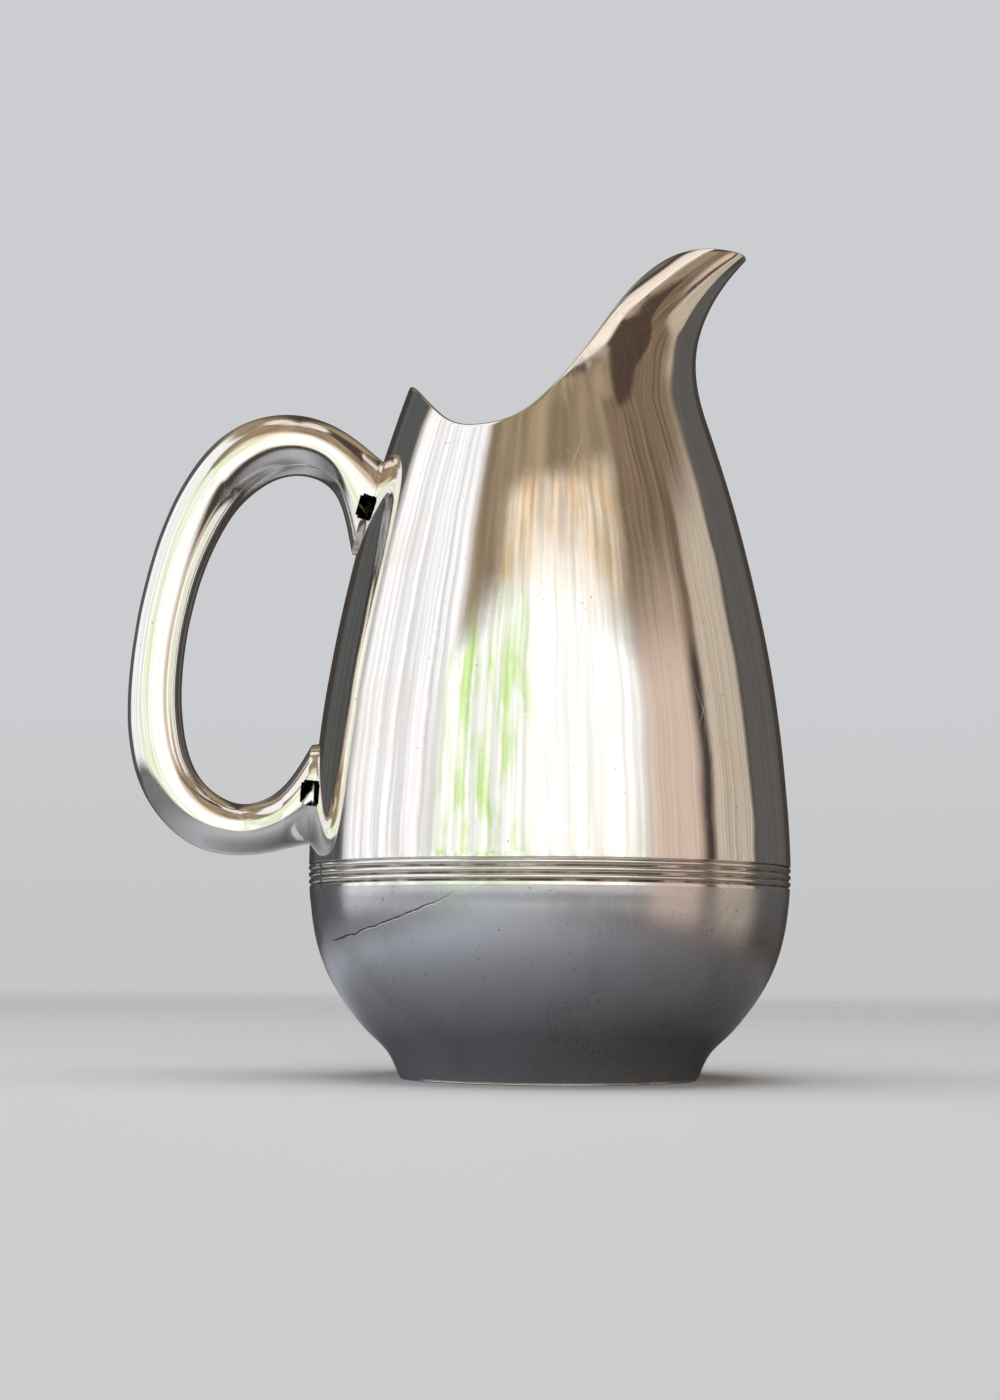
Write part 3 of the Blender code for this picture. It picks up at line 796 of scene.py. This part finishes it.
def bowl_silver():
    """The bowl's duller plate, partly painted shade, with dark marks and one long thin crease across its left
    front, whose dark line is a painted reflection.
    """
    shade = silver("silver_bowl", around=WRAP_RADIUS)
    turn = shade.math("ARCTAN2", shade.y, shade.x)
    share = shade.math("DIVIDE", shade.math("SUBTRACT", turn, CREASE_FROM), CREASE_TO - CREASE_FROM)
    run = shade.math("POWER", shade.math("MAXIMUM", share, 0.0), CREASE_BEND)
    wander = shade.math("MULTIPLY", shade.noise(shade.place, CREASE_FINENESS, 3.0), CREASE_WANDER)
    height = shade.math("ADD", shade.math("MULTIPLY_ADD", run, CREASE_RISE, CREASE_BOTTOM), wander)
    off_line = shade.math("ABSOLUTE", shade.math("SUBTRACT", shade.z, height))
    fades = [shade.ramp(share, *fade) for fade in CREASE_FADES]
    ends = shade.math("MULTIPLY", *fades)
    line = shade.math("MULTIPLY", shade.ramp(off_line, CREASE_HALF_WIDTH, CREASE_HALF_WIDTH / 4), ends)
    marks = shade.ramp(shade.noise(shade.place, *MARK_NOISE), *MARK_RANGE)
    marked_patches = shade.ramp(shade.noise(shade.place, MARK_PATCH_FINENESS, 1.0), *MARK_PATCHES)
    marks = shade.math("MULTIPLY", shade.math("MULTIPLY", marks, marked_patches), MARK_SHARE)
    base = shade.shader.inputs["Base Color"]
    normal = shade.shader.inputs["Normal"]
    plate, before = base.links[0].from_socket, normal.links[0].from_socket
    # The crease's dark line is a painted reflection; the marks are dark spots in the plate.
    shade.put(base, shade.mix(shade.math("MAXIMUM", line, marks), plate, DARK_TARNISH_AND_PAINTED_REFLECTION))
    shade.put(normal, shade.relief(line, -CREASE_DEPTH, before))
    return shade


def band_silver():
    """The band's plate, darker in its grooves, and with dark tarnish at its joint, where polishing doesn't
    reach.
    """
    shade = silver("silver_band", around=BAND_WRAP_RADIUS)
    below_top = shade.math("SUBTRACT", BAND_TOP, shade.z)
    in_pitch = shade.math("FRACT", shade.math("DIVIDE", below_top, REED_PITCH))
    middle = (REED_PITCH - GROOVE_WIDTH) / REED_PITCH / 2
    off_crest = shade.math("ABSOLUTE", shade.math("SUBTRACT", in_pitch, middle))
    # Darker towards the middle of each groove, in patches.
    groove = shade.ramp(off_crest, *(middle * share for share in GROOVE_DARK_RANGE))
    on_reeds = shade.math("LESS_THAN", below_top, REED_COUNT * REED_PITCH + GROOVE_WIDTH)
    patchy = shade.ramp(shade.noise(shade.place, GROOVE_PATCH_FINENESS, 3.0), *GROOVE_PATCHES)
    darkening = shade.math("MULTIPLY", shade.math("MULTIPLY", groove, on_reeds), patchy)
    turn = shade.math("ARCTAN2", shade.y, shade.x)
    from_joint = shade.math("SUBTRACT", turn, BAND_JOINT_ANGLE - 2 * math.pi)
    solder = shade.ramp(shade.math("ABSOLUTE", from_joint), SOLDER_HALF_ANGLE, SOLDER_HALF_ANGLE / 4)
    darkening = shade.math("MAXIMUM", darkening, solder)
    base = shade.shader.inputs["Base Color"]
    rough = shade.shader.inputs["Roughness"]
    plate, sheen = base.links[0].from_socket, rough.links[0].from_socket
    shade.put(base, shade.mix(shade.math("MULTIPLY", darkening, GROOVE_DARKNESS), plate, DARK_TARNISH_AND_PAINTED_REFLECTION))
    shade.put(rough, shade.math("MULTIPLY_ADD", darkening, GROOVE_HAZE, sheen))
    return shade


# ---------------------------------------------------------------- stage and camera

# Camera: sensor, lens and place in millimetres, clip distances in metres, and tilt and roll in radians
CAMERA_SENSOR, CAMERA_LENS, CAMERA_CLIP = 36, 62.9, (0.01, 20)
CAMERA_FROM_AXIS = (-13.96, -676.0, 32.65)
CAMERA_PITCH, CAMERA_ROLL = 0.1051, 0.0076

# Floor and sky, in metres
FLOOR_RADIUS, FLOOR_FADE_START, FLOOR_FADE_END = 1.9, 0.35, 1.862
FLOOR_STEPS = 96
SKY_RADIUS = 3.0
SKY_CENTRE = Vector((0, 0, 0.1))

# Soft panels round the pitcher, nearest first: azimuth from the camera's side towards the spout and height of
# their edges in degrees, colour, strength, softness of their edges, depth of their folds, how patchy their
# colour is, and how far the top edge drops at its left and right end, as a share of the height
PANELS = (
    ("beam", 55, 116, 45, 73, (1.0, 0.68, 0.52), 0.10, 0.08, 0.30, 0.0, (0.0, 0.0)),
    ("window_right", -18, 52, -14, 42, (1.0, 0.985, 0.94), 1.5, 0.20, 0.38, 0.0, (0.0, 0.24)),
    ("window_left", -60, 2, -14, 37, (0.62, 0.83, 0.36), 1.35, 0.14, 0.40, 0.95, (0.24, 0.0)),
    ("curtain_left", -118, -46, -14, 60, (0.98, 0.97, 1.0), 1.3, 0.12, 0.45, 0.0, (0.0, 0.0)),
    ("blind", -38, 48, 28, 47, (1.0, 0.73, 0.46), 1.10, 0.20, 0.50, 0.4, (0.30, 0.25)),
    ("wall_right", 42, 79, -34, 34, (1.0, 0.77, 0.64), 0.76, 0.22, 0.20, 0.0, (0.0, 0.0)),
    ("curtain_right", 80, 112, -34, 36, (1.0, 0.84, 0.68), 0.70, 0.15, 0.45, 0.0, (0.0, 0.0)),
    ("wall_high", 42, 108, 20, 52, (1.0, 0.70, 0.48), 0.30, 0.11, 0.55, 0.0, (0.0, 0.30)),
    ("side_right", 108, 152, -14, 50, (1.0, 0.95, 0.92), 0.12, 0.16, 0.20, 0.0, (0.0, 0.0)),
    ("side_left", -154, -112, -14, 50, (0.94, 0.97, 1.0), 0.13, 0.16, 0.40, 0.0, (0.0, 0.0)),
    ("lamp", -180, 180, 71, 89, (1.0, 0.88, 0.78), 1.15, 0.18, 0.40, 0.0, (0.0, 0.0)),
    ("high_wall", -180, 180, 24, 68, (1.0, 0.76, 0.50), 0.46, 0.10, 0.50, 0.0, (0.0, 0.0)),
    ("ceiling", -180, 180, 62, 89, (1.0, 0.80, 0.62), 0.58, 0.14, 0.85, 0.0, (0.0, 0.0)),
)
PANEL_STEP = 5.0
PANEL_SPACING = 0.04
FOLD_COUNTS, FOLD_NOISE, FOLD_RANGE = (26.0, 1.2, 1.0), (1.0, 3.0, 0.55), (0.3, 0.7)
PATCH_COUNTS, PATCH_NOISE, PATCH_RANGE = (9.0, 5.0, 1.0), (1.0, 4.0, 0.6), (0.36, 0.56)
WHITE, BLACK = (1, 1, 1, 1), (0, 0, 0, 1)

# The floor and background that the camera sees, the room's faint light, and the light over the pitcher
PAPER_TONES = (0.60, 0.63, 0.67, 1), (0.65, 0.68, 0.72, 1)
PAPER_FINENESS, PAPER_DEPTH, PAPER_ROUGHNESS, PAPER_GLOSS = 0.9, 0.02, 0.75, 0.2
FLOOR_TONE = (0.565, 0.565, 0.57, 1)
BACKGROUND = (0.60, 0.61, 0.63, 1)
HORIZON_RISE = 0.12
AMBIENT = (0.060, 0.048, 0.040, 1)
OVERHEAD_HEIGHT, OVERHEAD_SIZE, OVERHEAD_POWER = 1.7, 1.6, 20.0

# The ground that the metal mirrors instead, a painted reflection: a colour at its left and right, painted
# shade under the pitcher and far out to the left, and gone beyond a distance from its centre; distances in
# millimetres
MIRRORED_COOL = (0.44, 0.47, 0.54, 1)
MIRRORED_WARM = (0.08, 0.065, 0.057, 1)
MIRRORED_LEFT, MIRRORED_RIGHT = -160.0, 250.0
MIRRORED_NEAR, MIRRORED_FAR = 240.0, 420.0
UNDER_SHADE, UNDER_NEAR, UNDER_FAR = 0.45, 55.0, 165.0
OUTER_SHADE, OUTER_NEAR, OUTER_FAR = 0.62, -95.0, -260.0
MIRRORED_CENTRE = (-130.0, -20.0, 0.0)


def sky_point(azimuth, height, radius):
    a, h = math.radians(azimuth), math.radians(height)
    level = math.cos(h)
    return SKY_CENTRE + radius * Vector((math.sin(a) * level, -math.cos(a) * level, math.sin(h)))


def panel_material(name, color, strength, softness, folds, patches, drops):
    """A glowing cloth panel with soft edges and upright folds."""
    shade = Shade(name)
    place = shade.node("ShaderNodeUVMap").outputs[0]
    axes = shade.node("ShaderNodeSeparateXYZ", {"Vector": place})
    across, up = axes.outputs["X"], axes.outputs["Y"]
    away = shade.math("SUBTRACT", 1.0, across)
    below_top = shade.math("SUBTRACT", 1.0, up)
    for distance, drop in zip((away, across), drops):
        below_top = shade.math("MULTIPLY_ADD", shade.math("POWER", distance, 2.0), -drop, below_top)
    edge = None
    for value in (across, away, up, below_top):
        side = shade.ramp(value, 0.0, softness)
        edge = side if edge is None else shade.math("MULTIPLY", edge, side)
    fold_place = shade.vector("MULTIPLY", place, FOLD_COUNTS)
    fold = shade.ramp(shade.noise(fold_place, *FOLD_NOISE), *FOLD_RANGE)
    level = shade.math("MULTIPLY_ADD", fold, folds, 1 - folds)
    glow = shade.math("MULTIPLY", level, strength)
    emission = shade.node("ShaderNodeEmission", {"Color": (*color, 1), "Strength": glow})
    if patches:
        patch_place = shade.vector("MULTIPLY", place, PATCH_COUNTS)
        patch = shade.ramp(shade.noise(patch_place, *PATCH_NOISE), *PATCH_RANGE)
        tint = shade.mix(shade.math("MULTIPLY", patch, patches), (*color, 1), WHITE)
        shade.put(emission.inputs["Color"], tint)
    clear = shade.node("ShaderNodeBsdfTransparent")
    mixed = shade.node("ShaderNodeMixShader", {0: edge, 1: clear.outputs[0], 2: emission.outputs[0]})
    shade.put(shade.tree.nodes["Material Output"].inputs["Surface"], mixed.outputs[0])
    shade.tree.nodes.remove(shade.shader)
    return shade.material


def add_panel(radius, name, left, right, low, high, *look):
    """A soft light panel on a large sphere, which the camera doesn't see."""
    columns, rows = (max(int(span / PANEL_STEP), 2) for span in (right - left, high - low))
    mesh = bpy.data.meshes.new(name)
    points = []
    for r in range(rows + 1):
        for c in range(columns + 1):
            azimuth, height = left + (right - left) * c / columns, low + (high - low) * r / rows
            points.append(sky_point(azimuth, height, radius))
    mesh.from_pydata(points, [], quads(rows + 1, columns + 1, False, False))
    layer = mesh.uv_layers.new(name="UVMap")
    for loop in mesh.loops:
        r, c = divmod(loop.vertex_index, columns + 1)
        layer.data[loop.index].uv = (c / columns, r / rows)
    mesh.materials.append(panel_material(name, *look))
    panel = bpy.data.objects.new(name, mesh)
    panel.visible_camera = False
    panel.visible_shadow = False
    bpy.context.scene.collection.objects.link(panel)
    return panel


def floor_material():
    """Pale matt paper that fades into the background; mirrored rays see in its place a darker ground, a
    painted reflection with painted shade.
    """
    shade = Shade("pale_floor")
    speckle = shade.noise(shade.place, PAPER_FINENESS, 3.0)
    pale = shade.mix(speckle, *PAPER_TONES)
    mirrored = shade.node("ShaderNodeLightPath").outputs["Is Glossy Ray"]
    reach = shade.node("ShaderNodeVectorMath", {0: shade.place}, operation="LENGTH").outputs["Value"]
    side = shade.ramp(shade.x, MIRRORED_LEFT, MIRRORED_RIGHT)
    # Painted shadow under the pitcher and painted shade far out to the left, which only mirrored rays see.
    under = shade.math("MULTIPLY", shade.ramp(reach, UNDER_FAR, UNDER_NEAR), UNDER_SHADE)
    outer = shade.math("MULTIPLY", shade.ramp(shade.x, OUTER_NEAR, OUTER_FAR), OUTER_SHADE)
    painted_shade = shade.math("MAXIMUM", under, outer)
    painted_reflection = shade.mix(painted_shade, shade.mix(side, MIRRORED_COOL, MIRRORED_WARM), BLACK)
    shade.put(shade.shader.inputs["Base Color"], shade.mix(mirrored, pale, painted_reflection))
    shade.shader.inputs["Roughness"].default_value = PAPER_ROUGHNESS
    shade.shader.inputs["Specular IOR Level"].default_value = PAPER_GLOSS
    shade.put(shade.shader.inputs["Normal"], shade.relief(speckle, PAPER_DEPTH))
    solid = shade.ramp(reach, FLOOR_FADE_END / MM, FLOOR_FADE_START / MM)
    from_centre = shade.vector("SUBTRACT", shade.place, MIRRORED_CENTRE)
    far_off = shade.node("ShaderNodeVectorMath", {0: from_centre}, operation="LENGTH").outputs["Value"]
    cut_off = shade.math("MULTIPLY", mirrored, shade.ramp(far_off, MIRRORED_NEAR, MIRRORED_FAR))
    shade.put(shade.shader.inputs["Alpha"], shade.math("SUBTRACT", solid, cut_off))
    return shade.material


def add_floor():
    mesh = bpy.data.meshes.new("floor")
    work = bmesh.new()
    bmesh.ops.create_circle(work, cap_ends=True, segments=FLOOR_STEPS, radius=FLOOR_RADIUS)
    work.to_mesh(mesh)
    work.free()
    mesh.materials.append(floor_material())
    floor = bpy.data.objects.new("floor", mesh)
    bpy.context.scene.collection.objects.link(floor)


def add_overhead():
    """A wide soft light over the pitcher, for the floor and its shadow."""
    light = bpy.data.objects.new("overhead", bpy.data.lights.new("overhead", "AREA"))
    light.data.shape = "DISK"
    light.data.size = OVERHEAD_SIZE
    light.data.energy = OVERHEAD_POWER
    light.location = (0, 0, OVERHEAD_HEIGHT)
    light.visible_glossy = False
    light.visible_camera = False
    bpy.context.scene.collection.objects.link(light)


def add_world():
    """A pale background for the camera, and a dim warm room for the metal to mirror."""
    world = bpy.data.worlds.new("studio")
    bpy.context.scene.world = world
    world.use_nodes = True
    tree = world.node_tree
    tree.nodes.clear()
    direction = tree.nodes.new("ShaderNodeTexCoord")
    axes = tree.nodes.new("ShaderNodeSeparateXYZ")
    rise = tree.nodes.new("ShaderNodeMapRange")
    rise.interpolation_type = "SMOOTHSTEP"
    rise.inputs["From Max"].default_value = HORIZON_RISE
    tone = tree.nodes.new("ShaderNodeMix")
    tone.data_type = "RGBA"
    tone.inputs[6].default_value, tone.inputs[7].default_value = FLOOR_TONE, BACKGROUND
    seen, mirrored = (tree.nodes.new("ShaderNodeBackground") for _ in range(2))
    mirrored.inputs["Color"].default_value = AMBIENT
    path = tree.nodes.new("ShaderNodeLightPath")
    mix = tree.nodes.new("ShaderNodeMixShader")
    out = tree.nodes.new("ShaderNodeOutputWorld")
    for source, target in (
        (direction.outputs["Generated"], axes.inputs[0]),
        (axes.outputs["Z"], rise.inputs["Value"]),
        (rise.outputs[0], tone.inputs[0]),
        (tone.outputs[2], seen.inputs["Color"]),
        (path.outputs["Is Camera Ray"], mix.inputs[0]),
        (mirrored.outputs[0], mix.inputs[1]),
        (seen.outputs[0], mix.inputs[2]),
        (mix.outputs[0], out.inputs["Surface"]),
    ):
        tree.links.new(source, target)


def add_camera():
    camera = bpy.data.objects.new("camera", bpy.data.cameras.new("camera"))
    camera.data.sensor_width, camera.data.lens = CAMERA_SENSOR, CAMERA_LENS
    camera.data.clip_start, camera.data.clip_end = CAMERA_CLIP
    aim = Matrix.Rotation(math.pi / 2 + CAMERA_PITCH, 4, "X") @ Matrix.Rotation(CAMERA_ROLL, 4, "Z")
    camera.matrix_world = Matrix.Translation(Vector(CAMERA_FROM_AXIS) * MM + AXIS) @ aim
    bpy.context.scene.collection.objects.link(camera)
    bpy.context.scene.camera = camera


def build():
    add_camera()
    add_world()
    add_overhead()
    add_floor()
    for number, panel in enumerate(PANELS):
        add_panel(SKY_RADIUS + PANEL_SPACING * number, *panel)
    bpy.context.scene.view_settings.view_transform = "Standard"

    grip = silver("silver_handle").material
    make_bowl(bowl_silver().material)
    make_base_plate(silver("silver_base").material)
    make_base_ring(silver("silver_ring").material)
    make_upper_body(silver("silver_body", around=WRAP_RADIUS).material)
    make_reeded_band(band_silver().material)
    cutters = vent_cutters()
    make_handle_shell("handle_right_half", "handle_right_shell", -1, cutters, grip)
    make_handle_shell("handle_left_half", "handle_left_shell", 1, (), grip)
    for cutter in cutters:
        bpy.data.meshes.remove(cutter.data)


build()
